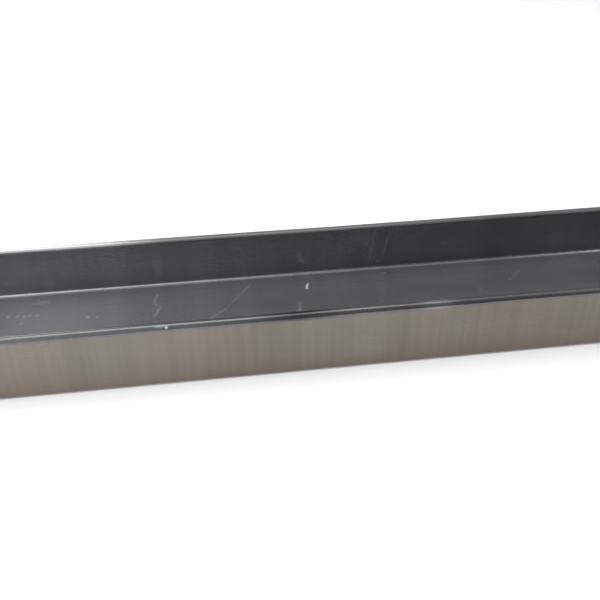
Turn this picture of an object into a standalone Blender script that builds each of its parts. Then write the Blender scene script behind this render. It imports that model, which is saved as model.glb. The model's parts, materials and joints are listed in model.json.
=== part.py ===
"""Open trough feeder for poultry and small livestock: one folded sheet-steel channel with rolled
lips, closed at both ends by riveted and sealed end plates.

Metres. +X runs along the trough, the front wall is on the -Y side and +Z is up. The origin is on
the surface that the trough stands on, under the middle of its floor.
"""

from math import cos, radians, sin, tan

import bmesh
import bpy
from mathutils import Matrix, Vector

# Driving dimensions
LENGTH = 1.200  # over the cut ends of the channel
WIDTH = 0.200  # over the outer faces of the walls, where they meet the floor
HEIGHT = 0.076  # from the underside of the floor to the top of the lips
SHEET = 0.001  # thickness of the steel
WALL_LEAN = radians(3)  # how far each wall leans in over the floor
BEND_RADIUS = 0.004  # outside of the bends between the floor and the walls
LIP_RADIUS = 0.006  # outside of the rolled lips
LIP_END = radians(30)  # the lip stops where its outer face looks this far above level

END_INSET = 0.0185  # from the end of the channel in to the feed side of the end plate
END_ROLL_RADIUS = 0.005  # outside of the end plate's rolled top edge
END_ROLL_TURN = radians(150)
END_DROP = 0.001  # the end plate's top edge lies this far below the lips
LIP_CLEARANCE = 0.001  # between the lips and the end plate
FLANGE_BEND = 0.0015  # outside of the bends between the end plate and its flanges
FLANGE_SETBACK = 0.0005  # from the flange's edge to the end of the channel
FLANGE_RELIEF = 0.007  # the flanges stop this far from the bottom corners
RELIEF_SLOT = 0.0012  # between the end of a flange and the end plate's bottom corner

SEAL = 0.0008  # thickness of the sealing strip
SEAL_MARGIN = 0.002  # from the strip's edges to the end plate and to the channel's end

RIVET_RADIUS = 0.0016
RIVET_HEAD_RADIUS = 0.0032
RIVET_HEAD_HEIGHT = 0.0012
RIVET_TAIL_RADIUS = 0.0026
RIVET_TAIL_HEIGHT = 0.0009
RIVET_FLUSH_DEPTH = 0.0002  # the flush tails stop this far above the floor's underside
RIVET_FLARE = 0.0007  # how much wider a flush tail is than its rivet
HEAD_RIM = 0.3  # share of a domed head's height that is its straight rim
HOLE_OVERRUN = 0.001  # the hole cutters run this far past the stack
RIVET_FROM_END = 0.0085
WALL_RIVET_HEIGHTS = {"lower": 0.022, "upper": 0.052}
FLOOR_RIVET_PITCH = 0.044
FLOOR_RIVETS = 4

GAP = 0.0003  # between pieces that touch
ARC_STEP = radians(15)  # of rolled edges and bends
ROUND_SIDES = 16  # round the rivets and their holes

# How far the faces of the stack lie behind the channel's outer face
SEAL_OUTSIDE = SHEET + GAP
FLANGE_OUTSIDE = SEAL_OUTSIDE + SEAL + GAP
STACK = FLANGE_OUTSIDE + SHEET

# Centres of the front wall's bend and lip in the section; y is mirrored for the back
BEND_CENTRE = Vector((-WIDTH / 2 + BEND_RADIUS * (1 + sin(WALL_LEAN)) / cos(WALL_LEAN), BEND_RADIUS))
LIP_CENTRE = Vector((
    -WIDTH / 2 + (LIP_RADIUS + (HEIGHT - LIP_RADIUS) * sin(WALL_LEAN)) / cos(WALL_LEAN),
    HEIGHT - LIP_RADIUS,
))
WALL_OUTWARD = Vector((-cos(WALL_LEAN), sin(WALL_LEAN)))  # of the front wall, in the section
FLANGE_TOP = LIP_CENTRE.y - LIP_CLEARANCE


def remove_everything():
    for scene_object in list(bpy.data.objects):
        bpy.data.objects.remove(scene_object, do_unlink=True)


def material(name, colour, roughness, metallic):
    made = bpy.data.materials.new(name)
    made.use_nodes = True
    shader = made.node_tree.nodes["Principled BSDF"]
    shader.inputs["Base Color"].default_value = (*colour, 1)
    shader.inputs["Roughness"].default_value = roughness
    shader.inputs["Metallic"].default_value = metallic
    return made


def add_object(name, bm, surface=None, group=None):
    """Turns a bmesh into an object of the scene, with smooth shading up to 30 degrees."""
    mesh = bpy.data.meshes.new(name)
    bm.to_mesh(mesh)
    bm.free()
    mesh.shade_smooth()
    mesh.set_sharp_from_angle(angle=radians(30))
    if surface:
        mesh.materials.append(surface)
    made = bpy.data.objects.new(name, mesh)
    (group or bpy.context.scene.collection).objects.link(made)
    return made


def arc(centre, radius, start, end):
    """Points of an arc in the section, both ends included."""
    steps = max(1, round(abs(end - start) / ARC_STEP))
    angles = [start + (end - start) * i / steps for i in range(steps + 1)]
    return [centre + radius * Vector((cos(a), sin(a))) for a in angles]


def mirrored(points):
    return [Vector((-p.x, p.y)) for p in reversed(points)]


def wall_y(height, inset):
    """Where the front wall is at a height, this far behind its outer face."""
    return -WIDTH / 2 + height * tan(WALL_LEAN) + inset / cos(WALL_LEAN)


def extrude_section(points, x_from, x_to):
    """A closed outline in the YZ plane, made a solid from x_from to x_to."""
    bm = bmesh.new()
    face = bm.faces.new([bm.verts.new((x_from, p.x, p.y)) for p in points])
    bm.normal_update()
    grown = bmesh.ops.extrude_face_region(bm, geom=[face])["geom"]
    moved = [part for part in grown if isinstance(part, bmesh.types.BMVert)]
    bmesh.ops.translate(bm, verts=moved, vec=(x_to - x_from, 0, 0))
    bmesh.ops.recalc_face_normals(bm, faces=bm.faces)
    return bm


def turned(profile, base, axis):
    """A round solid: (distance along the axis, radius) points spun about an axis through base.

    The profile starts and ends on the axis.
    """
    bm = bmesh.new()
    points = [bm.verts.new((radius, 0, along)) for along, radius in profile]
    edges = [bm.edges.new(pair) for pair in zip(points, points[1:])]
    bmesh.ops.spin(bm, geom=points + edges, cent=(0, 0, 0), axis=(0, 0, 1), angle=radians(360),
                   steps=ROUND_SIDES, use_merge=True)
    bmesh.ops.remove_doubles(bm, verts=bm.verts, dist=1e-6)
    bmesh.ops.recalc_face_normals(bm, faces=bm.faces)
    turn = Vector((0, 0, 1)).rotation_difference(axis).to_matrix().to_4x4()
    bmesh.ops.transform(bm, matrix=Matrix.Translation(base) @ turn, verts=bm.verts)
    return bm


def cut_rivet_holes(target, cutters):
    """Takes a collection of cutters out of a piece by one exact Boolean."""
    holes = target.modifiers.new(cutters.name, "BOOLEAN")
    holes.operation = "DIFFERENCE"
    holes.solver = "EXACT"
    holes.operand_type = "COLLECTION"
    holes.collection = cutters


# Channel: floor, two walls and two lips folded from one sheet

def channel_line(inset):
    """The channel's section line from the front lip's end round to the back lip's end."""
    front = arc(LIP_CENTRE, LIP_RADIUS - inset, LIP_END, radians(180) - WALL_LEAN)
    front += arc(BEND_CENTRE, BEND_RADIUS - inset, radians(180) - WALL_LEAN, radians(270))
    return front + mirrored(front)


def make_channel(steel):
    outline = channel_line(0) + list(reversed(channel_line(SHEET)))
    return add_object("trough_body", extrude_section(outline, -LENGTH / 2, LENGTH / 2), steel)


# Sealing strip: lies between the channel and the end plate's flanges

def strip_line(inset):
    front = [Vector((wall_y(FLANGE_TOP, inset), FLANGE_TOP))]
    front += arc(BEND_CENTRE, BEND_RADIUS - inset, radians(180) - WALL_LEAN, radians(270))
    return front + mirrored(front)


def make_seal(name, side, sealant):
    outline = strip_line(SEAL_OUTSIDE) + list(reversed(strip_line(SEAL_OUTSIDE + SEAL)))
    inner = side * (LENGTH / 2 - END_INSET + SEAL_MARGIN)
    outer = side * (LENGTH / 2 - SEAL_MARGIN)
    return add_object(name, extrude_section(outline, inner, outer), sealant)


# End plate: a web with three flanges turned outwards and a rolled top edge

def fold(bm, edge, centre, axis, angle):
    """Rolls an edge of the sheet round an axis and returns the edge at the end of the roll."""
    steps = max(2, round(abs(angle) / ARC_STEP))
    last = bmesh.ops.spin(bm, geom=[edge, *edge.verts], cent=centre, axis=axis, angle=angle,
                          steps=steps, use_duplicate=False)["geom_last"]
    return next(part for part in last if isinstance(part, bmesh.types.BMEdge))


def add_flange(bm, edge, outward, side):
    """Turns a flange off the web along one edge; outward is the way from the web to the wall."""
    a, b = (vert.co.copy() for vert in edge.verts)
    along = Vector((side, 0, 0))
    centre = (a + b) / 2 + along * FLANGE_BEND
    bent = fold(bm, edge, centre, outward.cross(along), radians(90))
    grown = bmesh.ops.extrude_edge_only(bm, edges=[bent])["geom"]
    moved = [part for part in grown if isinstance(part, bmesh.types.BMVert)]
    reach = END_INSET - FLANGE_BEND - FLANGE_SETBACK
    bmesh.ops.translate(bm, verts=moved, vec=along * reach)


def make_end_plate(name, side, steel):
    x = side * (LENGTH / 2 - END_INSET)
    fold_inset = FLANGE_OUTSIDE + FLANGE_BEND
    corner_inset = SHEET + GAP
    flange_end = FLANGE_OUTSIDE + FLANGE_RELIEF
    corner = flange_end - RELIEF_SLOT
    roll_start = HEIGHT - END_DROP - END_ROLL_RADIUS
    roll_y = LIP_CENTRE.x + LIP_RADIUS + LIP_CLEARANCE
    half = [
        Vector((roll_y, roll_start)),
        Vector((roll_y, FLANGE_TOP)),
        Vector((wall_y(FLANGE_TOP, fold_inset), FLANGE_TOP)),
        Vector((wall_y(flange_end, fold_inset), flange_end)),
        Vector((wall_y(corner, fold_inset), corner)),
        Vector((wall_y(corner, corner_inset), corner)),
        *arc(BEND_CENTRE, BEND_RADIUS - corner_inset, radians(180) - WALL_LEAN, radians(270)),
        Vector((-WIDTH / 2 + corner, corner_inset)),
        Vector((-WIDTH / 2 + corner, fold_inset)),
        Vector((-WIDTH / 2 + flange_end, fold_inset)),
    ]
    bm = bmesh.new()
    verts = [bm.verts.new((x, p.x, p.y)) for p in half + mirrored(half)]
    web = bm.faces.new(verts)
    bm.normal_update()
    if web.normal.x * side > 0:
        web.normal_flip()
    middle = len(half)
    front_edge = bm.edges.get((verts[2], verts[3]))
    floor_edge = bm.edges.get((verts[middle - 1], verts[middle]))
    back_edge = bm.edges.get((verts[-3], verts[-4]))
    top_edge = bm.edges.get((verts[0], verts[-1]))
    add_flange(bm, front_edge, Vector((0, WALL_OUTWARD.x, WALL_OUTWARD.y)), side)
    add_flange(bm, floor_edge, Vector((0, 0, -1)), side)
    add_flange(bm, back_edge, Vector((0, -WALL_OUTWARD.x, WALL_OUTWARD.y)), side)
    roll_centre = (x + side * END_ROLL_RADIUS, 0, roll_start)
    fold(bm, top_edge, roll_centre, (0, side, 0), END_ROLL_TURN)
    bmesh.ops.recalc_face_normals(bm, faces=bm.faces)
    plate = add_object(name, bm, steel)
    wall = plate.modifiers.new("sheet", "SOLIDIFY")
    wall.thickness = SHEET
    wall.offset = -1
    wall.use_even_offset = True
    return plate


# Rivets: domed solid rivets; the floor's are closed flush underneath

def dome(start, height, radius):
    """A domed head's profile, from its rim to the axis."""
    steps = 3
    angles = [radians(90) * i / steps for i in range(steps + 1)]
    rim = HEAD_RIM * height
    return [(start + rim + (height - rim) * sin(a), radius * cos(a)) for a in angles]


def wall_rivet_profile():
    """Along the way out of the wall, from 0 at its outer face."""
    tail = -STACK - GAP
    return [
        (tail - RIVET_TAIL_HEIGHT, 0),
        (tail - RIVET_TAIL_HEIGHT, 0.8 * RIVET_TAIL_RADIUS),
        (tail - 0.7 * RIVET_TAIL_HEIGHT, RIVET_TAIL_RADIUS),
        (tail, RIVET_TAIL_RADIUS),
        (tail, RIVET_RADIUS),
        (GAP, RIVET_RADIUS),
        (GAP, RIVET_HEAD_RADIUS),
        *dome(GAP, RIVET_HEAD_HEIGHT, RIVET_HEAD_RADIUS),
    ]


def floor_rivet_profile():
    """Upwards, from 0 at the floor's underside."""
    return [
        (RIVET_FLUSH_DEPTH, 0),
        (RIVET_FLUSH_DEPTH, RIVET_RADIUS + RIVET_FLARE),
        (RIVET_FLUSH_DEPTH + RIVET_FLARE, RIVET_RADIUS),
        (STACK + GAP, RIVET_RADIUS),
        (STACK + GAP, RIVET_HEAD_RADIUS),
        *dome(STACK + GAP, RIVET_HEAD_HEIGHT, RIVET_HEAD_RADIUS),
    ]


def hole_profile(countersunk):
    """Along the rivet's axis, clear through the stack."""
    past = HOLE_OVERRUN
    radius = RIVET_RADIUS + GAP
    if countersunk:
        return [(-past, 0), (-past, radius + SHEET + past), (SHEET, radius),
                (STACK + past, radius), (STACK + past, 0)]
    return [(-STACK - past, 0), (-STACK - past, radius), (past, radius), (past, 0)]


def rivet_places(side):
    """Each rivet's name, its point on the channel's outer face, its axis and whether it is in the floor.

    The axis points out of the wall, or up from the floor.
    """
    x = side * (LENGTH / 2 - RIVET_FROM_END)
    for wall, flip in (("front", 1), ("back", -1)):
        for row, height in WALL_RIVET_HEIGHTS.items():
            base = Vector((x, flip * wall_y(height, 0), height))
            yield f"{wall}_{row}", base, Vector((0, flip * WALL_OUTWARD.x, WALL_OUTWARD.y)), False
    for i in range(FLOOR_RIVETS):
        y = (i - (FLOOR_RIVETS - 1) / 2) * FLOOR_RIVET_PITCH
        yield f"floor_{i + 1}", Vector((x, y, 0)), Vector((0, 0, 1)), True


def make_rivets(end, side, metal):
    """The rivets of one end, and the cutters for their holes."""
    cutters = bpy.data.collections.new(f"holes_{end}")
    bpy.context.scene.collection.children.link(cutters)
    for place, base, axis, in_floor in rivet_places(side):
        profile = floor_rivet_profile() if in_floor else wall_rivet_profile()
        add_object(f"rivet_{end}_{place}", turned(profile, base, axis), metal)
        hole = turned(hole_profile(in_floor), base, axis)
        cutter = add_object(f"hole_{end}_{place}", hole, group=cutters)
        cutter.hide_render = True
        cutter.display_type = "WIRE"
    return cutters


remove_everything()
sheet_steel = material("sheet steel", (0.36, 0.36, 0.37), 0.35, 1)
plate_steel = material("end plate steel", (0.38, 0.38, 0.38), 0.35, 1)
butyl = material("sealing strip", (0.05, 0.05, 0.05), 0.8, 0)
rivet_metal = material("rivet aluminium", (0.6, 0.6, 0.6), 0.35, 1)

channel = make_channel(sheet_steel)
for end, side in (("left", -1), ("right", 1)):
    seal = make_seal(f"end_seal_{end}", side, butyl)
    end_plate = make_end_plate(f"end_plate_{end}", side, plate_steel)
    cutters = make_rivets(end, side, rivet_metal)
    for piece in (channel, seal, end_plate):
        cut_rivet_holes(piece, cutters)
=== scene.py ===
"""An open sheet-steel trough feeder, set on a pale studio floor under soft light."""

import json
from math import atan2, cos, pi, radians, sin, tan

import bmesh
import bpy
from mathutils import Matrix, Vector, noise
from mathutils.geometry import intersect_point_line

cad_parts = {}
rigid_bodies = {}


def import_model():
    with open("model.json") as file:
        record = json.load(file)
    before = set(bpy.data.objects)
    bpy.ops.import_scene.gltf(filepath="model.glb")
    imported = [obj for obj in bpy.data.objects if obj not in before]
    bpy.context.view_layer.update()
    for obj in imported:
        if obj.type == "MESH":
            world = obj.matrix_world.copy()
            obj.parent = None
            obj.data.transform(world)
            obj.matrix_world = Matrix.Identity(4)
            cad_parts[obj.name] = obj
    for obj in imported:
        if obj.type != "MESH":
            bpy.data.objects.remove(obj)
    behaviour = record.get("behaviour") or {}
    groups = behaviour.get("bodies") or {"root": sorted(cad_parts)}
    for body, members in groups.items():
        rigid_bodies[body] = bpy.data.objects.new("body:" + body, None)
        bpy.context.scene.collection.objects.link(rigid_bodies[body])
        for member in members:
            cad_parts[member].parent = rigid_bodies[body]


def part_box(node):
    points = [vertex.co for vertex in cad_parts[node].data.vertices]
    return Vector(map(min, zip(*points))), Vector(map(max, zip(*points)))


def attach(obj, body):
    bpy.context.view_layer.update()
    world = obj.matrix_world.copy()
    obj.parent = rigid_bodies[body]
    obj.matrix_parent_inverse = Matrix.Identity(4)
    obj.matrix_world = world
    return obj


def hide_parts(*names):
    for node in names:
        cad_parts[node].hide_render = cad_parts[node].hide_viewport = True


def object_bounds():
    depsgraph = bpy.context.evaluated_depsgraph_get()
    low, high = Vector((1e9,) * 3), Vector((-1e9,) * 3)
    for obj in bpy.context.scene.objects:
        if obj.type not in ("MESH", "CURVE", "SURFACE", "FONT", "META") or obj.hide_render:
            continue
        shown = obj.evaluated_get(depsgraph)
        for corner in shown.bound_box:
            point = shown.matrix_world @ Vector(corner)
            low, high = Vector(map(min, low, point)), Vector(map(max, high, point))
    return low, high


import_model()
frame_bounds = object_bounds()
scene = bpy.context.scene

# The viewpoint: of someone standing in front of the trough, a little to its left, and looking down
# on it from under a metre away, so close that both its ends lie out of view.

view_turn = radians(8.13)  # from square-on towards the right
view_dip = radians(35.18)
view_distance = 0.780
view_lens = 42.66  # millimetres, on a film 36 mm wide
looked_at = Vector((0, -0.0677, frame_bounds[1].z))  # on the level of the rims, near the front one

forward = Vector((sin(view_turn) * cos(view_dip), cos(view_turn) * cos(view_dip), -sin(view_dip)))
lens = bpy.data.cameras.new("studio_camera")
lens.sensor_width = 36
lens.lens = view_lens
lens.clip_start = 0.01
camera = bpy.data.objects.new("studio_camera", lens)
camera.location = looked_at - forward * view_distance
camera.rotation_euler = forward.to_track_quat("-Z", "Y").to_euler()
scene.collection.objects.link(camera)
scene.camera = camera
scene.view_settings.view_transform = "Standard"

# The studio: a wide paper floor, a soft lamp over the trough's left and a dim one over its right, one
# far out on either side that lights the paper, a bright one high behind on the left, and a dim room
# that the bare steel mirrors, darker to the right, with a grey backdrop.

floor_size = 14


def lamp(name, place, aim, width, depth, radiance, colour):
    """A soft lamp: a lit panel of an even brightness, whatever its size."""
    panel = bpy.data.lights.new(name, "AREA")
    panel.shape = "RECTANGLE"
    panel.size = width
    panel.size_y = depth
    panel.energy = radiance * pi * width * depth
    panel.color = colour
    stand = bpy.data.objects.new(name, panel)
    stand.location = place
    stand.rotation_euler = (Vector(aim) - Vector(place)).to_track_quat("-Z", "Y").to_euler()
    scene.collection.objects.link(stand)


lamp("overhead_lamp", (-1.3, 0.35, 2.6), (-1.3, 0.35, 0), 4.2, 1.6, 1.8, (1.0, 0.99, 0.97))
lamp("dim_overhead_lamp", (2.2, 0.45, 2.6), (2.2, 0.45, 0), 2.8, 2.1, 0.48, (1.0, 1.0, 1.0))
lamp("window_lamp", (-1.75, 2.3, 1.5), (-0.3, 0, 0), 2.4, 2.0, 2.4, (1.0, 1.0, 1.0))
lamp("left_lamp", (-3.4, -0.8, 2.3), (0, -0.3, 0), 2.2, 2.2, 6.1, (1.0, 1.0, 1.0))
lamp("right_lamp", (3.6, -0.8, 2.3), (0, -0.3, 0), 2.2, 2.2, 3.9, (1.0, 1.0, 1.0))


def add_node(tree, kind, inputs, **settings):
    """Adds a node; an input given a socket is linked to it, and any other value is set on it."""
    made = tree.nodes.new("ShaderNode" + kind)
    for setting, value in settings.items():
        setattr(made, setting, value)
    for socket, value in inputs.items():
        if isinstance(value, bpy.types.NodeSocket):
            tree.links.new(value, made.inputs[socket])
        else:
            made.inputs[socket].default_value = value
    return made


def between(tree, value, low, high, to_low=0.0, to_high=1.0):
    """A smooth step: to_low where the value is under low, to_high where it is over high."""
    return add_node(tree, "MapRange", {"Value": value, "From Min": low, "From Max": high,
                                       "To Min": to_low, "To Max": to_high},
                    interpolation_type="SMOOTHSTEP").outputs[0]


def blend_colours(tree, factor, first, second, how="MIX"):
    return add_node(tree, "Mix", {"Factor": factor, 6: first, 7: second}, data_type="RGBA",
                    blend_type=how).outputs[2]


def start_material(name, metallic, roughness):
    """A new material, its nodes and its shader, with the even values set on the shader."""
    finish = bpy.data.materials.new(name)
    finish.use_nodes = True
    shader = finish.node_tree.nodes["Principled BSDF"]
    shader.inputs["Metallic"].default_value = metallic
    shader.inputs["Roughness"].default_value = roughness
    return finish, finish.node_tree, shader


def object_place(tree):
    return add_node(tree, "TexCoord", {}).outputs["Object"]


def drawn_noise(tree, place, scale, detail=3.0, turn=(0, 0, 0)):
    """Noise whose grain is as fine along each axis as that axis's scale, per metre."""
    moved = add_node(tree, "Mapping", {"Vector": place, "Rotation": turn, "Scale": scale}).outputs[0]
    return add_node(tree, "TexNoise", {"Vector": moved, "Scale": 1.0, "Detail": detail}).outputs[0]


room = bpy.data.worlds.new("dim_room")
room.use_nodes = True
tree = room.node_tree
direction = add_node(tree, "TexCoord", {}).outputs["Generated"]
to_right, to_back, _ = add_node(tree, "SeparateXYZ", {0: direction}).outputs
room_tint = blend_colours(tree, between(tree, to_right, -0.34, 0.30),
                          (0.74, 0.76, 0.80, 1), (0.075, 0.074, 0.072, 1))
backdrop_tint = (0.52, 0.52, 0.52, 1)
room_tint = blend_colours(tree, between(tree, to_back, 0.3, 0.7), room_tint, backdrop_tint)
tree.links.new(room_tint, tree.nodes["Background"].inputs["Color"])
scene.world = room

bm = bmesh.new()
bmesh.ops.create_grid(bm, x_segments=1, y_segments=1, size=floor_size / 2)
floor_mesh = bpy.data.meshes.new("studio_floor")
bm.to_mesh(floor_mesh)
bm.free()
studio_floor = bpy.data.objects.new("studio_floor", floor_mesh)
scene.collection.objects.link(studio_floor)
paper, tree, shader = start_material("pale_paper", 0.0, 0.9)
fibres = drawn_noise(tree, object_place(tree), (700, 700, 700), 2.0)
paper_colour = blend_colours(tree, fibres, (0.925, 0.925, 0.92, 1), (0.935, 0.935, 0.93, 1))
tree.links.new(paper_colour, shader.inputs["Base Color"])
floor_mesh.materials.append(paper)

# The trough body: one sheet of bare rolled steel, 1 mm thick. Its two walls are folded up from the
# floor and lean in a little, and both top edges are rolled inwards into a smooth lip that keeps feed
# in and spares the birds a cut edge. Rivets hold the end plates through holes drilled near its ends.

body_low, body_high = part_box("trough_body")
sheet = 0.001
cut_edge = 0.00012  # how far the shears' sharp edges are broken
sharp_corner = radians(50)  # edges that turn more than this are broken
smooth_bend = radians(30)  # faces that meet at less than this shade as one
same_point = 1e-6  # points nearer than this are one
wall_lean = radians(3)
bend_radius = 0.004
lip_radius = 0.006
lip_end = radians(30)
half_width = 0.100
turn_step = radians(6)
slice_length = 0.010
strip_width = 0.008


def floor_bend_centre():
    """Of the bend under the front wall, in the body's section."""
    from_corner = bend_radius * (1 + sin(wall_lean)) / cos(wall_lean)
    return Vector((0, -half_width + from_corner, bend_radius))


def lip_centre():
    """Of the roll at the top of the front wall, in the body's section."""
    rise = body_high.z - lip_radius
    return Vector((0, -half_width + (lip_radius + rise * sin(wall_lean)) / cos(wall_lean), rise))


def start_line(bm, point):
    return bm.verts.new(point)


def roll_on(bm, vert, centre, angle):
    """Carries a sheet's section line on round a centre; returns the vertex at its new end."""
    steps = max(2, round(abs(angle) / turn_step))
    last = bmesh.ops.spin(bm, geom=[vert], cent=centre, axis=(1, 0, 0), angle=angle, steps=steps,
                          use_duplicate=False)["geom_last"]
    return next(part for part in last if isinstance(part, bmesh.types.BMVert))


def run_on(bm, vert, point, stretch=strip_width):
    """Carries a section line straight on to a point, in stretches about this long."""
    way = point - vert.co
    steps = max(1, round(way.length / stretch))
    last = bmesh.ops.spin(bm, geom=[vert], cent=vert.co, axis=(1, 0, 0), angle=0, dvec=way / steps,
                          steps=steps, use_duplicate=False)["geom_last"]
    return next(part for part in last if isinstance(part, bmesh.types.BMVert))


def around(centre, radius, angle):
    return centre + radius * Vector((0, cos(angle), sin(angle)))


def draw_along(bm, x_from, x_to, step):
    """Draws the section line out along the trough into a sheet of even slices."""
    slices = max(1, round(abs(x_to - x_from) / step))
    bmesh.ops.translate(bm, verts=bm.verts, vec=(x_from, 0, 0))
    bmesh.ops.spin(bm, geom=bm.verts[:] + bm.edges[:], cent=(0, 0, 0), axis=(1, 0, 0), angle=0,
                   dvec=((x_to - x_from) / slices, 0, 0), steps=slices, use_duplicate=False)


def link_piece(name, bm):
    mesh = bpy.data.meshes.new(name)
    bm.to_mesh(mesh)
    bm.free()
    mesh.shade_smooth()
    mesh.set_sharp_from_angle(angle=smooth_bend)
    piece = bpy.data.objects.new(name, mesh)
    scene.collection.objects.link(piece)
    return piece


def bake_modifiers(piece):
    """Makes a piece's modifiers part of its mesh."""
    graph = bpy.context.evaluated_depsgraph_get()
    finished = bpy.data.meshes.new_from_object(piece.evaluated_get(graph))
    piece.modifiers.clear()
    piece.data = finished
    finished.shade_smooth()
    finished.set_sharp_from_angle(angle=smooth_bend)


def finish_sheet(piece, thickness, edge):
    """Gives a surface its thickness, behind its faces, and breaks the sharp edges."""
    wall = piece.modifiers.new("sheet", "SOLIDIFY")
    wall.thickness = thickness
    wall.offset = -1
    wall.use_even_offset = True
    deburr = piece.modifiers.new("deburr", "BEVEL")
    deburr.width = edge
    deburr.segments = 2
    deburr.limit_method = "ANGLE"
    deburr.angle_limit = sharp_corner
    bake_modifiers(piece)
    bm = bmesh.new()
    bm.from_mesh(piece.data)
    bmesh.ops.dissolve_degenerate(bm, dist=same_point, edges=bm.edges)
    bm.to_mesh(piece.data)
    bm.free()
    return piece


def face_outwards(bm, choose, outward):
    """Makes a sheet's faces agree, so that the one lowest in what choose gives looks outward."""
    bmesh.ops.recalc_face_normals(bm, faces=bm.faces)
    bm.normal_update()
    if min(bm.faces, key=choose).normal.dot(outward) < 0:
        bmesh.ops.reverse_faces(bm, faces=bm.faces)


def height_of(face):
    return face.calc_center_median().z


to_other_wall = Vector((1, -1, 1))
down = Vector((0, 0, -1))
bend, lip = floor_bend_centre(), lip_centre()
back_bend, back_lip = bend * to_other_wall, lip * to_other_wall
upright = pi - wall_lean  # the way out of the front wall, round +X from +Y
bm = bmesh.new()
edge = start_line(bm, around(lip, lip_radius, lip_end))
edge = roll_on(bm, edge, lip, upright - lip_end)
edge = run_on(bm, edge, around(bend, bend_radius, upright))
edge = roll_on(bm, edge, bend, 1.5 * pi - upright)
edge = run_on(bm, edge, around(back_bend, bend_radius, 1.5 * pi))
edge = roll_on(bm, edge, back_bend, 1.5 * pi - upright)
edge = run_on(bm, edge, around(back_lip, lip_radius, pi - upright))
edge = roll_on(bm, edge, back_lip, upright - lip_end)
draw_along(bm, body_low.x, body_high.x, slice_length)
face_outwards(bm, height_of, down)

# The folding press and years of handling leave the walls and rims very slightly uneven, and the back
# lip bowed down in the middle of its length.
end_hold = 0.06  # the end plates keep the sheet true about this far from its ends
wall_sway = 0.0005
lip_sag = 0.00035
back_bow = 0.0012
bow_middle = 0.05
bow_length = 1.0
for vert in bm.verts:
    x, y, z = vert.co
    free = min(1, max(0, (body_high.x - abs(x)) / end_hold - 0.3))
    rise = max(0, z / body_high.z)
    side = 1 if y > 0 else -1
    long_sway = noise.noise(Vector((x * 7, side * 5.3, 0.4)))
    short_sway = noise.noise(Vector((x * 31, side * 2.1, 3)))
    sway = long_sway + 0.35 * short_sway
    sag = max(0, 0.3 + noise.noise(Vector((x * 9, side * 3.7, 8))))
    if rise > 0.1:
        along_bow = max(-pi / 2, min(pi / 2, (x - bow_middle) * pi / bow_length))
        bow = back_bow * cos(along_bow) ** 2 if side > 0 else 0
        vert.co.z -= bow * free * rise ** 3
        vert.co.y -= side * free * rise * wall_sway * (0.5 + sway)
        vert.co.z -= free * rise ** 3 * lip_sag * sag

trough_body = finish_sheet(link_piece("folded_trough", bm), sheet, cut_edge)
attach(trough_body, "root")
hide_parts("trough_body")


def reckon(tree, operation, first, second=0.0):
    return add_node(tree, "Math", {0: first, 1: second}, operation=operation).outputs[0]


def spread(tree, value, low, high):
    """Noise, which mostly lies between 0.3 and 0.7, stretched from low to high."""
    return add_node(tree, "MapRange", {"Value": value, "From Min": 0.3, "From Max": 0.7,
                                       "To Min": low, "To Max": high}).outputs[0]


def add_up(tree, *values):
    total = values[0]
    for value in values[1:]:
        total = reckon(tree, "ADD", total, value)
    return total


def dim(tree, colour, shade):
    """A colour times a shade."""
    grey = add_node(tree, "CombineColor", {0: shade, 1: shade, 2: shade}).outputs[0]
    return blend_colours(tree, 1.0, colour, grey, "MULTIPLY")


def soft_patch(tree, place, centre, reach):
    """A mask, 1 at a centre, that fades to 0 at its reach along each axis."""
    moved = add_node(tree, "Mapping", {"Vector": place, "Location": centre, "Scale": reach},
                     vector_type="TEXTURE").outputs[0]
    distance = add_node(tree, "VectorMath", {0: moved}, operation="LENGTH").outputs["Value"]
    return between(tree, distance, 0.0, 1.0, 1.0, 0.0)


def stroke(tree, place, start, end, width):
    """A mask, 1 on a straight mark from start to end in the first two axes, soft at its edges."""
    way = Vector(end) - Vector(start)
    middle = (Vector(start) + Vector(end)) / 2
    turn = -Vector((1, 0)).angle_signed(way)
    on_mark = add_node(tree, "Mapping", {"Vector": place, "Location": (*middle, 0),
                                         "Rotation": (0, 0, turn),
                                         "Scale": (way.length / 2 + width, width, 1)},
                       vector_type="TEXTURE").outputs[0]
    split = add_node(tree, "SeparateXYZ", {0: on_mark}).outputs
    along = between(tree, reckon(tree, "ABSOLUTE", split[0]), 0.3, 1.0, 1.0, 0.0)
    across = between(tree, reckon(tree, "ABSOLUTE", split[1]), 0.0, 1.0, 1.0, 0.0)
    return reckon(tree, "MULTIPLY", along, across)


def emboss(tree, shader, relief):
    """Raises a surface by a relief given in millimetres."""
    bump = add_node(tree, "Bump", {"Height": relief, "Distance": 0.001, "Strength": 1.0}).outputs[0]
    tree.links.new(bump, shader.inputs["Normal"])


def strongest(tree, masks):
    """The strongest of some (strength, mask) pairs at each point."""
    total = 0.0
    for strength, mask in masks:
        total = reckon(tree, "MAXIMUM", total, reckon(tree, "MULTIPLY", mask, strength))
    return total


inside_tint = (0.310, 0.315, 0.324, 1)
# The outside's warm tint is a painted reflection of a warm floor in front of the trough.
warm_reflection_tint = (0.230, 0.201, 0.176, 1)
olive_tint = (0.214, 0.208, 0.175, 1)
foot_shade_tint = (0.97, 0.91, 0.87, 1)
# Both lips are painted darker than the sheet, which dims their highlights.
lip_tint = (0.185, 0.185, 0.185, 1)
back_lip_tint = (0.155, 0.155, 0.153, 1)
bend_highlight_tint = (0.76, 0.76, 0.80, 1)
back_lip_highlight_tint = (0.55, 0.55, 0.55, 1)  # a painted highlight on the back lip's left part
dust_tint = (0.170, 0.170, 0.182, 1)
scuff_tint = (0.62, 0.62, 0.65, 1)

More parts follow.
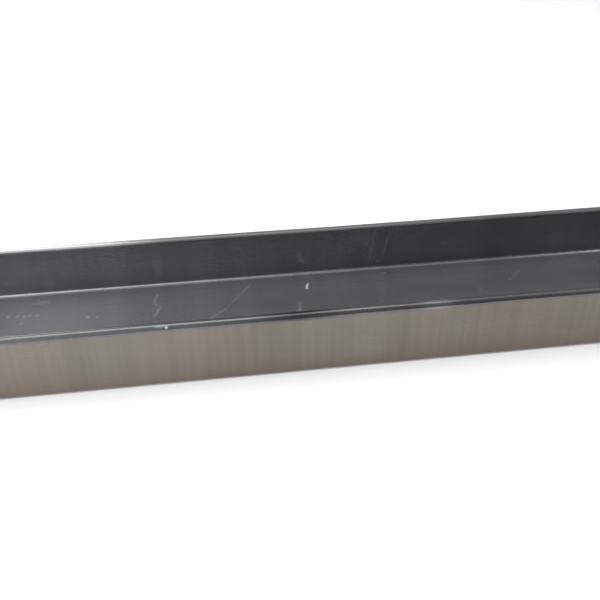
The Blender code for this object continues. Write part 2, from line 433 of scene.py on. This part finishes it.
steel, tree, shader = start_material("bare_rolled_steel", 1.0, 0.25)
place = object_place(tree)
x, y, z = add_node(tree, "SeparateXYZ", {0: place}).outputs
depth = reckon(tree, "ABSOLUTE", y)
off_middle = add_up(tree, depth, reckon(tree, "MULTIPLY", z, tan(wall_lean)))
mid_sheet = half_width - 0.6 * sheet
past_mid_sheet = between(tree, off_middle, mid_sheet - 0.0001, mid_sheet + 0.0001)
below_lip = between(tree, z, body_high.z - lip_radius, body_high.z - 0.8 * lip_radius, 1.0, 0.0)
outside = reckon(tree, "MULTIPLY", past_mid_sheet, below_lip)
on_lip = between(tree, z, body_high.z - 1.3 * lip_radius, body_high.z - 0.9 * lip_radius)
on_floor = between(tree, z, 1.2 * sheet, 1.6 * sheet, 1.0, 0.0)
bend_highlight = reckon(tree, "MULTIPLY",
                 between(tree, depth, half_width - 1.5 * bend_radius, half_width - bend_radius),
                 between(tree, z, 0.8 * bend_radius, bend_radius, 1.0, 0.0))
bend_highlight = reckon(tree, "MULTIPLY", bend_highlight, reckon(tree, "SUBTRACT", 1.0, past_mid_sheet))

# Its colour: cool inside, and warm outside as a painted reflection of a warm floor, with the olive
# tinge of old oil. A painted highlight brightens the inner bends and the back lip's left part, and
# the front lip's highlight is painted darker on its inner side, with one dimmer and one brighter
# place.
olive = strongest(tree, [
    (0.9, soft_patch(tree, place, (-0.215, -0.100, 0.055), (0.085, 0.30, 0.075))),
    (1.0, soft_patch(tree, place, (0.030, -0.100, 0.050), (0.150, 0.30, 0.080))),
    (0.6, soft_patch(tree, place, (0.330, -0.100, 0.070), (0.120, 0.30, 0.060))),
    (0.8, between(tree, drawn_noise(tree, place, (9, 3, 3), 1.0, (0, 0, 0.4)), 0.5, 0.75)),
])
# Painted highlight: the back lip's left part is given a bright tint.
left_lip_highlight = between(tree, x, -0.27, -0.13, 1.0, 0.0)
outside_colour = blend_colours(tree, olive, warm_reflection_tint, olive_tint)
colour = blend_colours(tree, outside, inside_tint, outside_colour)
# Painted shade: the outside turns darker and browner towards its foot.
painted_foot_shade = reckon(tree, "MULTIPLY", outside, between(tree, z, 0.0, 0.045, 1.0, 0.0))
shaded_foot_colour = blend_colours(tree, 1.0, colour, foot_shade_tint, "MULTIPLY")
colour = blend_colours(tree, painted_foot_shade, colour, shaded_foot_colour)
on_back_lip = reckon(tree, "MULTIPLY", between(tree, y, 0.05, 0.06),
                     between(tree, z, body_high.z - 2 * lip_radius, body_high.z - 1.8 * lip_radius))
# Painted light on the front lip: darker on its inner side to narrow its highlight, with one dimmer
# and one brighter place along it.
dim_lip_highlight = soft_patch(tree, place, (-0.004, -0.092, 0.074), (0.060, 0.02, 0.02))
bright_lip_highlight = soft_patch(tree, place, (0.149, -0.092, 0.074), (0.030, 0.02, 0.02))
front_lip_light = add_up(tree, between(tree, depth, 0.0908, 0.0918, 0.55, 1.0),
              reckon(tree, "MULTIPLY", dim_lip_highlight, -0.5),
              reckon(tree, "MULTIPLY", bright_lip_highlight, 0.6))
painted_lip_light = blend_colours(tree, on_back_lip, dim(tree, lip_tint, front_lip_light),
                         blend_colours(tree, left_lip_highlight, back_lip_tint, back_lip_highlight_tint))
colour = blend_colours(tree, reckon(tree, "MAXIMUM", on_lip, on_back_lip), colour, painted_lip_light)
# A painted highlight: the inner bends are given a bright steel.
colour = blend_colours(tree, bend_highlight, colour, bend_highlight_tint)

# Its grain: long soft blotches, the rolling mill's fine lines along the sheet, and faint upright
# streaks where water has run down the walls.
blotch = drawn_noise(tree, place, (5, 14, 14), 3.0)
mill_lines = drawn_noise(tree, place, (1.5, 700, 700), 2.0)
streaks = drawn_noise(tree, place, (150, 3, 3), 3.0)
broad_streaks = drawn_noise(tree, place, (22, 1.5, 1.5), 1.0)
shade = add_up(tree, spread(tree, blotch, 0.95, 1.05), spread(tree, mill_lines, -0.01, 0.01),
               spread(tree, streaks, -0.05, 0.05), spread(tree, broad_streaks, -0.05, 0.05))
# Painted shade: the outside darker towards the right end, where the light is weaker.
painted_shade_to_right = between(tree, x, -0.30, 0.20, 0.0, 0.15)
shade = reckon(tree, "SUBTRACT", shade, reckon(tree, "MULTIPLY", painted_shade_to_right, outside))
colour = dim(tree, colour, shade)

# Marks that scoops, beaks and stacking have left on the floor and the walls: one long scratch, a
# crooked scuff, a bright fleck, then smudges, faint scrapes, pale drops and a nick in the front lip.
wall_place = add_node(tree, "CombineXYZ", {0: x, 1: z, 2: y}).outputs[0]
crooked_scuff = [(-0.165, 0.077), (-0.170, 0.056), (-0.161, 0.049), (-0.169, 0.026)]
marks = [(0.24, stroke(tree, place, (-0.114, 0.000), (-0.068, 0.044), 0.0024)),
         (0.24, stroke(tree, place, (-0.086, 0.024), (-0.034, 0.097), 0.0024))]
for a, b in zip(crooked_scuff, crooked_scuff[1:]):
    marks.append((0.42, stroke(tree, place, a, b, 0.0036)))
marks += [
    (1.60, stroke(tree, place, (0.027, 0.062), (0.031, 0.075), 0.0026)),
    (1.60, soft_patch(tree, place, (0.028, 0.065, 0), (0.0030, 0.0070, 1))),
    (0.30, stroke(tree, place, (0.012, 0.016), (0.015, 0.037), 0.0042)),
    (0.40, stroke(tree, place, (0.011, 0.016), (0.013, 0.020), 0.0050)),
    (0.16, stroke(tree, place, (0.290, 0.038), (0.328, 0.070), 0.0028)),
    (0.09, stroke(tree, place, (0.249, 0.022), (0.256, 0.040), 0.0060)),
    (0.18, soft_patch(tree, place, (0.135, 0.084, 0), (0.0070, 0.0050, 1))),
    (0.16, soft_patch(tree, place, (0.117, 0.020, 0), (0.0040, 0.0070, 1))),
    (0.20, soft_patch(tree, place, (-0.312, 0.078, 0), (0.022, 0.008, 1))),
]
for drop in ((-0.348, 0.053), (-0.337, 0.052), (-0.328, 0.051), (-0.322, 0.051), (-0.313, 0.050),
             (-0.330, 0.036), (-0.250, 0.038), (-0.239, 0.037)):
    marks.append((0.25, soft_patch(tree, place, (*drop, 0), (0.0040, 0.0050, 1))))
on_back_wall = reckon(tree, "MULTIPLY", between(tree, y, 0.085, 0.088),
                      between(tree, z, 0.004, 0.006))
wall_marks = strongest(tree, [
    (0.10, stroke(tree, wall_place, (0.122, 0.066), (0.118, 0.010), 0.0030)),
    (0.10, stroke(tree, wall_place, (0.145, 0.068), (0.134, 0.012), 0.0030)),
    (0.08, soft_patch(tree, wall_place, (0.104, 0.056, 0), (0.024, 0.024, 1))),
    (0.09, soft_patch(tree, wall_place, (-0.330, 0.045, 0), (0.300, 0.080, 1))),
])
worn = drawn_noise(tree, place, (420, 420, 420), 2.0)
scratched = reckon(tree, "MULTIPLY", strongest(tree, marks), spread(tree, worn, 0.40, 1.10))
scratched = reckon(tree, "MULTIPLY", scratched, on_floor)
rim_nick = soft_patch(tree, place, (-0.145, -0.0945, 0.0742), (0.0028, 0.0028, 0.0028))
rim_rub = soft_patch(tree, place, (-0.152, -0.0935, 0.0750), (0.009, 0.002, 0.002))
marked = strongest(tree, [(1.0, scratched), (1.0, rim_nick), (0.4, rim_rub),
                          (1.0, reckon(tree, "MULTIPLY", wall_marks, on_back_wall))])
marked = reckon(tree, "MINIMUM", marked, 1.0)

# A thin dry film of feed dust on the floor, in one patch on the left and towards the ends, thickened
# along the back as painted light where the back wall shades the floor, and a dull film on the back
# lip that is part of its painted highlight.
dust_patch = soft_patch(tree, place, (-0.287, 0.040, 0), (0.125, 0.085, 1))
near_ends = between(tree, reckon(tree, "ABSOLUTE", x), 0.52, 0.585)
dust_and_painted_light_film = add_up(tree, spread(tree, drawn_noise(tree, place, (9, 16, 16), 4.0), 0.215, 0.275),
              between(tree, y, 0.04, 0.095, 0.0, 0.12), reckon(tree, "MULTIPLY", dust_patch, 0.38),
              reckon(tree, "MULTIPLY", near_ends, 0.25))
dust_and_painted_light_film = reckon(tree, "MULTIPLY", dust_and_painted_light_film, on_floor)
# The back lip's dull film lets its painted colour show, part of its painted highlight.
back_lip_highlight_film = reckon(tree, "MULTIPLY", on_back_lip, between(tree, left_lip_highlight, 0.0, 1.0, 0.5, 0.42))

colour = blend_colours(tree, dust_and_painted_light_film, colour, dust_tint)
colour = blend_colours(tree, marked, colour, scuff_tint)
tree.links.new(colour, shader.inputs["Base Color"])
dulled = strongest(tree, [(1.0, dust_and_painted_light_film), (1.0, back_lip_highlight_film), (0.12, on_lip), (0.9, marked)])
tree.links.new(reckon(tree, "SUBTRACT", 1.0, dulled), shader.inputs["Metallic"])
rough = add_up(tree, spread(tree, blotch, 0.22, 0.28), spread(tree, mill_lines, -0.01, 0.01),
               reckon(tree, "MULTIPLY", marked, 0.25))
tree.links.new(rough, shader.inputs["Roughness"])
dents = drawn_noise(tree, place, (14, 22, 22), 1.0)
relief = add_up(tree, reckon(tree, "MULTIPLY", dents, 0.10),
                reckon(tree, "MULTIPLY", mill_lines, 0.0002), reckon(tree, "MULTIPLY", marked, -0.01))
emboss(tree, shader, relief)
trough_body.data.materials.append(steel)

# The seals: a strip of grey butyl between each end plate's flanges and the trough, pressed flat when
# the rivets were set, so that its edges have crept out unevenly and no feed or water gets past.

seal_inset = sheet + 0.00005  # behind the trough's outer face
seal_thickness = 0.0013
seal_slice = 0.0012
seal_stretch = 0.003
seal_edge = 0.0004  # how far its edges are rounded
creep = 0.0006


def wall_y(height, inset):
    """Where the front wall is at a height, this far behind its outer face."""
    return -half_width + height * tan(wall_lean) + inset / cos(wall_lean)


seals = []
for end, side in (("left", -1), ("right", 1)):
    seal_low, seal_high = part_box(f"end_seal_{end}")
    bm = bmesh.new()
    edge = start_line(bm, Vector((0, wall_y(seal_high.z, seal_inset), seal_high.z)))
    edge = run_on(bm, edge, around(bend, bend_radius - seal_inset, upright), seal_stretch)
    edge = roll_on(bm, edge, bend, 1.5 * pi - upright)
    edge = run_on(bm, edge, around(back_bend, bend_radius - seal_inset, 1.5 * pi), seal_stretch)
    edge = roll_on(bm, edge, back_bend, 1.5 * pi - upright)
    run_on(bm, edge, Vector((0, -wall_y(seal_high.z, seal_inset), seal_high.z)), seal_stretch)
    draw_along(bm, seal_low.x, seal_high.x, seal_slice)
    face_outwards(bm, height_of, down)
    middle, reach = (seal_low.x + seal_high.x) / 2, (seal_high.x - seal_low.x) / 2
    for vert in bm.verts:
        out = (vert.co.x - middle) / reach
        wave = noise.noise(Vector((side * 5 + out, vert.co.y * 130, vert.co.z * 130)))
        fine_wave = noise.noise(Vector((side * 9 + out, vert.co.y * 480, vert.co.z * 480)))
        vert.co.x += creep * (0.3 + wave + 0.4 * fine_wave) * out ** 3
    seal = finish_sheet(link_piece(f"butyl_seal_{end}", bm), seal_thickness, seal_edge)
    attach(seal, "root")
    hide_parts(f"end_seal_{end}")
    seals.append(seal)

butyl, tree, shader = start_material("grey_butyl", 0.0, 0.7)
place = object_place(tree)
lumps = drawn_noise(tree, place, (350, 350, 350), 4.0)
specks = drawn_noise(tree, place, (1600, 1600, 1600), 2.0)
dusty = between(tree, drawn_noise(tree, place, (120, 120, 120), 3.0), 0.45, 0.65)
colour = blend_colours(tree, lumps, (0.045, 0.046, 0.050, 1), (0.085, 0.086, 0.090, 1))
colour = blend_colours(tree, reckon(tree, "MULTIPLY", dusty, 0.5), colour, (0.23, 0.21, 0.18, 1))
tree.links.new(colour, shader.inputs["Base Color"])
tree.links.new(spread(tree, lumps, 0.55, 0.85), shader.inputs["Roughness"])
relief = add_up(tree, reckon(tree, "MULTIPLY", lumps, 0.15), reckon(tree, "MULTIPLY", specks, 0.03))
emboss(tree, shader, relief)
for seal in seals:
    seal.data.materials.append(butyl)

# The end plates: 1 mm sheet with a flange turned outwards along the floor and each wall, clipped and
# relieved at the bottom corners, and its top edge rolled outwards so that nothing sharp faces a bird.

plate_bend = 0.0015
flange_face = 0.0024  # from the trough's outer face to the flanges' outer faces
flange_fold = flange_face + plate_bend
corner_inset = 0.0013
lip_clearance = 0.001
relief_reach = 0.007
relief_slot = 0.0012
plate_roll_radius = 0.005
plate_roll_turn = radians(150)
clipped_corner = 0.0025
one_edge = 1.0  # longer than any straight stretch of a section, which is then a single edge


def edges_along(bm, a, b):
    """The edges that lie on the straight line from a to b."""
    def on_line(vert):
        nearest, share = intersect_point_line(vert.co, a, b)
        return (vert.co - nearest).length < same_point and -1e-4 < share < 1 + 1e-4
    return [edge for edge in bm.edges if all(on_line(vert) for vert in edge.verts)]


def fold_over(bm, edges, centre, axis, angle):
    """Rolls edges of a sheet round an axis; returns the edges at the end of the roll."""
    verts = list({vert for edge in edges for vert in edge.verts})
    last = bmesh.ops.spin(bm, geom=edges + verts, cent=centre, axis=axis, angle=angle,
                          steps=round(abs(angle) / turn_step), use_duplicate=False)["geom_last"]
    return [part for part in last if isinstance(part, bmesh.types.BMEdge)]


def turn_flange(bm, a, b, outward, along, reach):
    """Turns a flange off the plate along the line from a to b, and clips its two far corners."""
    folded = fold_over(bm, edges_along(bm, a, b), a + along * plate_bend, outward.cross(along),
                       pi / 2)
    grown = bmesh.ops.extrude_edge_only(bm, edges=folded)["geom"]
    moved = [part for part in grown if isinstance(part, bmesh.types.BMVert)]
    bmesh.ops.translate(bm, verts=moved, vec=along * reach)
    moved.sort(key=lambda vert: (b - a).dot(vert.co))
    corners = [moved[0], moved[-1]]
    bmesh.ops.bevel(bm, geom=corners, offset=clipped_corner, segments=5, profile=0.5,
                    affect="VERTICES", material=-1)


end_plates = []
for end, side in (("left", -1), ("right", 1)):
    plate_low, plate_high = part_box(f"end_plate_{end}")
    face_x, flange_x = (plate_high.x, plate_low.x) if side < 0 else (plate_low.x, plate_high.x)
    along = Vector((side, 0, 0))
    reach = abs(flange_x - face_x) - plate_bend
    flange_top = lip.z - lip_clearance
    flange_foot = flange_face + relief_reach
    corner_top = flange_foot - relief_slot
    roll_z = plate_high.z - plate_roll_radius
    roll_y = lip.y + lip_radius + lip_clearance
    bm = bmesh.new()
    corner = start_line(bm, Vector((face_x, 0, roll_z)))
    corner = run_on(bm, corner, Vector((face_x, roll_y, roll_z)), one_edge)
    corner = run_on(bm, corner, Vector((face_x, roll_y, flange_top)), one_edge)
    wall_top = Vector((face_x, wall_y(flange_top, flange_fold), flange_top))
    wall_foot = Vector((face_x, wall_y(flange_foot, flange_fold), flange_foot))
    floor_start = Vector((face_x, -half_width + flange_foot, flange_fold))
    corner = run_on(bm, corner, wall_top, one_edge)
    corner = run_on(bm, corner, wall_foot, one_edge)
    for inset in (flange_fold, corner_inset):
        on_wall = Vector((face_x, wall_y(corner_top, inset), corner_top))
        corner = run_on(bm, corner, on_wall, one_edge)
    bend_here = bend + Vector((face_x, 0, 0))
    corner = run_on(bm, corner, around(bend_here, bend_radius - corner_inset, upright), one_edge)
    corner = roll_on(bm, corner, bend_here, 1.5 * pi - upright)
    for inset in (corner_inset, flange_fold):
        on_foot = Vector((face_x, -half_width + corner_top, inset))
        corner = run_on(bm, corner, on_foot, one_edge)
    corner = run_on(bm, corner, floor_start, one_edge)
    run_on(bm, corner, Vector((face_x, 0, flange_fold)), one_edge)
    bmesh.ops.mirror(bm, geom=bm.verts[:] + bm.edges[:], axis="Y", merge_dist=same_point)
    bmesh.ops.remove_doubles(bm, verts=bm.verts, dist=same_point)
    bmesh.ops.contextual_create(bm, geom=bm.edges)

    wall_out = Vector((0, -cos(wall_lean), sin(wall_lean)))
    turn_flange(bm, wall_top, wall_foot, wall_out, along, reach)
    turn_flange(bm, wall_top * to_other_wall, wall_foot * to_other_wall, wall_out * to_other_wall,
                along, reach)
    turn_flange(bm, floor_start, floor_start * to_other_wall, down, along, reach)
    top_a, top_b = Vector((face_x, roll_y, roll_z)), Vector((face_x, -roll_y, roll_z))
    roll_centre = Vector((face_x, 0, roll_z)) + along * plate_roll_radius
    fold_over(bm, edges_along(bm, top_a, top_b), roll_centre, (0, side, 0), plate_roll_turn)
    face_outwards(bm, lambda face: -face.calc_area(), -along)
    end_plate = finish_sheet(link_piece(f"folded_end_plate_{end}", bm), sheet, cut_edge)
    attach(end_plate, "root")
    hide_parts(f"end_plate_{end}")
    end_plates.append(end_plate)

plate_steel, tree, shader = start_material("bare_plate_steel", 1.0, 0.27)
place = object_place(tree)
z = add_node(tree, "SeparateXYZ", {0: place}).outputs["Z"]
cloudy = drawn_noise(tree, place, (30, 18, 22), 4.0)
mill_lines = drawn_noise(tree, place, (700, 3, 700), 2.0)
runs = drawn_noise(tree, place, (8, 150, 5), 3.0)
colour = blend_colours(tree, cloudy, (0.300, 0.298, 0.300, 1), (0.345, 0.342, 0.340, 1))
shade = add_up(tree, spread(tree, cloudy, 0.92, 1.06), spread(tree, mill_lines, -0.02, 0.02),
               spread(tree, runs, -0.05, 0.05))
colour = dim(tree, colour, shade)
on_roll = between(tree, z, body_high.z - 0.006, body_high.z - 0.003)
worn = between(tree, drawn_noise(tree, place, (60, 60, 60), 3.0), 0.4, 0.6)
rubbed = reckon(tree, "MULTIPLY", on_roll, worn)
colour = blend_colours(tree, reckon(tree, "MULTIPLY", rubbed, 0.5), colour, (0.52, 0.52, 0.53, 1))
uneven = spread(tree, drawn_noise(tree, place, (90, 90, 90), 3.0), -0.006, 0.006)
dust_reach = add_up(tree, uneven, z)
dust = reckon(tree, "MULTIPLY", between(tree, dust_reach, 0.002, 0.020, 1.0, 0.0), 0.45)
colour = blend_colours(tree, dust, colour, (0.27, 0.24, 0.20, 1))
tree.links.new(colour, shader.inputs["Base Color"])
tree.links.new(reckon(tree, "SUBTRACT", 1.0, dust), shader.inputs["Metallic"])
rough = add_up(tree, spread(tree, cloudy, 0.24, 0.33), reckon(tree, "MULTIPLY", dust, 0.4))
tree.links.new(rough, shader.inputs["Roughness"])
dents = drawn_noise(tree, place, (25, 25, 25), 1.0)
relief = add_up(tree, reckon(tree, "MULTIPLY", dents, 0.08),
                reckon(tree, "MULTIPLY", mill_lines, 0.0008))
emboss(tree, shader, relief)
for end_plate in end_plates:
    end_plate.data.materials.append(plate_steel)

# The rivets: solid aluminium ones through trough, seal and flange. Domed heads show outside the walls
# and on the flange along the floor, where the tails are set flush so that the trough stands flat.

rivet_radius = 0.0016
hole_radius = 0.0019
head_radius = 0.0032
head_height = 0.0012
head_rim = 0.0003
tail_radius = 0.0026
tail_height = 0.0009
flush_flare = 0.0007
seat = 0.00005  # between a rivet and the sheet that it holds
stack = flange_face + sheet
rivet_sides = 40


def head_line(bm, vert, seat_z):
    """A rivet's section from its shank out under its domed head and up to the axis."""
    dome_height = head_height - head_rim
    dome_radius = (head_radius ** 2 + dome_height ** 2) / (2 * dome_height)
    top = seat_z + head_height
    vert = run_on(bm, vert, Vector((0, head_radius, seat_z)), one_edge)
    vert = run_on(bm, vert, Vector((0, head_radius, seat_z + head_rim)), one_edge)
    dome_turn = atan2(head_radius, dome_radius - dome_height)
    roll_on(bm, vert, Vector((0, 0, top - dome_radius)), dome_turn)


def turn_round(bm, base, axis):
    """Turns a section line, drawn upwards from the axis, into a round solid standing on a base."""
    bmesh.ops.spin(bm, geom=bm.verts[:] + bm.edges[:], cent=(0, 0, 0), axis=(0, 0, 1), angle=2 * pi,
                   steps=rivet_sides, use_merge=True)
    bmesh.ops.remove_doubles(bm, verts=bm.verts, dist=same_point)
    bmesh.ops.recalc_face_normals(bm, faces=bm.faces)
    turn = Vector((0, 0, 1)).rotation_difference(axis).to_matrix().to_4x4()
    bmesh.ops.transform(bm, matrix=Matrix.Translation(base) @ turn, verts=bm.verts)


def section_line(bm, *points):
    """Starts a section line in the YZ plane and carries it on through (radius, height) points."""
    vert = start_line(bm, Vector((0, *points[0])))
    for point in points[1:]:
        vert = run_on(bm, vert, Vector((0, *point)), one_edge)
    return vert


rivet_metal, tree, shader = start_material("rivet_aluminium", 1.0, 0.38)
place = object_place(tree)
tarnish = drawn_noise(tree, place, (260, 260, 260), 4.0)
scores = drawn_noise(tree, place, (1500, 1500, 300), 2.0)
grimy = between(tree, drawn_noise(tree, place, (420, 420, 420), 3.0), 0.5, 0.7)
grime = reckon(tree, "MULTIPLY", grimy, 0.5)
colour = blend_colours(tree, tarnish, (0.50, 0.50, 0.51, 1), (0.68, 0.68, 0.68, 1))
colour = blend_colours(tree, grime, colour, (0.20, 0.18, 0.16, 1))
tree.links.new(colour, shader.inputs["Base Color"])
tree.links.new(reckon(tree, "SUBTRACT", 1.0, grime), shader.inputs["Metallic"])
rough = add_up(tree, spread(tree, tarnish, 0.30, 0.48), spread(tree, scores, -0.04, 0.04))
tree.links.new(rough, shader.inputs["Roughness"])
relief = add_up(tree, reckon(tree, "MULTIPLY", tarnish, 0.05),
                reckon(tree, "MULTIPLY", scores, 0.012))
emboss(tree, shader, relief)

drills = bpy.data.collections.new("rivet_drills")
scene.collection.children.link(drills)
for end in ("left", "right"):
    for spot in ("front_lower", "front_upper", "back_lower", "back_upper",
                 "floor_1", "floor_2", "floor_3", "floor_4"):
        rivet_low, rivet_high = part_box(f"rivet_{end}_{spot}")
        base = (rivet_low + rivet_high) / 2
        rivet, drill = bmesh.new(), bmesh.new()
        if spot.startswith("floor"):
            base.z, axis = 0, Vector((0, 0, 1))
            flush = rivet_low.z
            vert = section_line(rivet, (0, flush), (rivet_radius + flush_flare, flush),
                                (rivet_radius, flush + flush_flare), (rivet_radius, stack + seat))
            head_line(rivet, vert, stack + seat)
            section_line(drill, (0, -sheet), (hole_radius + 2 * sheet, -sheet),
                         (hole_radius, sheet), (hole_radius, 2 * stack), (0, 2 * stack))
        else:
            flip = -1 if spot.startswith("back") else 1
            base.y = flip * wall_y(base.z, 0)
            axis = Vector((0, -flip * cos(wall_lean), sin(wall_lean)))
            tail = -stack - seat
            vert = section_line(rivet, (0, tail - tail_height),
                                (0.8 * tail_radius, tail - tail_height),
                                (0.95 * tail_radius, tail - 0.85 * tail_height),
                                (tail_radius, tail - 0.6 * tail_height), (tail_radius, tail),
                                (rivet_radius, tail), (rivet_radius, seat))
            head_line(rivet, vert, seat)
            section_line(drill, (0, -2 * stack), (hole_radius, -2 * stack), (hole_radius, stack),
                         (0, stack))
        turn_round(rivet, base, axis)
        turn_round(drill, base, axis)
        set_rivet = link_piece(f"set_rivet_{end}_{spot}", rivet)
        set_rivet.data.materials.append(rivet_metal)
        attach(set_rivet, "root")
        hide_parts(f"rivet_{end}_{spot}")
        cutter = link_piece("drill", drill)
        scene.collection.objects.unlink(cutter)
        drills.objects.link(cutter)

for piece in (trough_body, *seals, *end_plates):
    holes = piece.modifiers.new("rivet_holes", "BOOLEAN")
    holes.operation = "DIFFERENCE"
    holes.solver = "EXACT"
    holes.operand_type = "COLLECTION"
    holes.collection = drills
    bake_modifiers(piece)
for cutter in list(drills.objects):
    bpy.data.objects.remove(cutter)
bpy.data.collections.remove(drills)
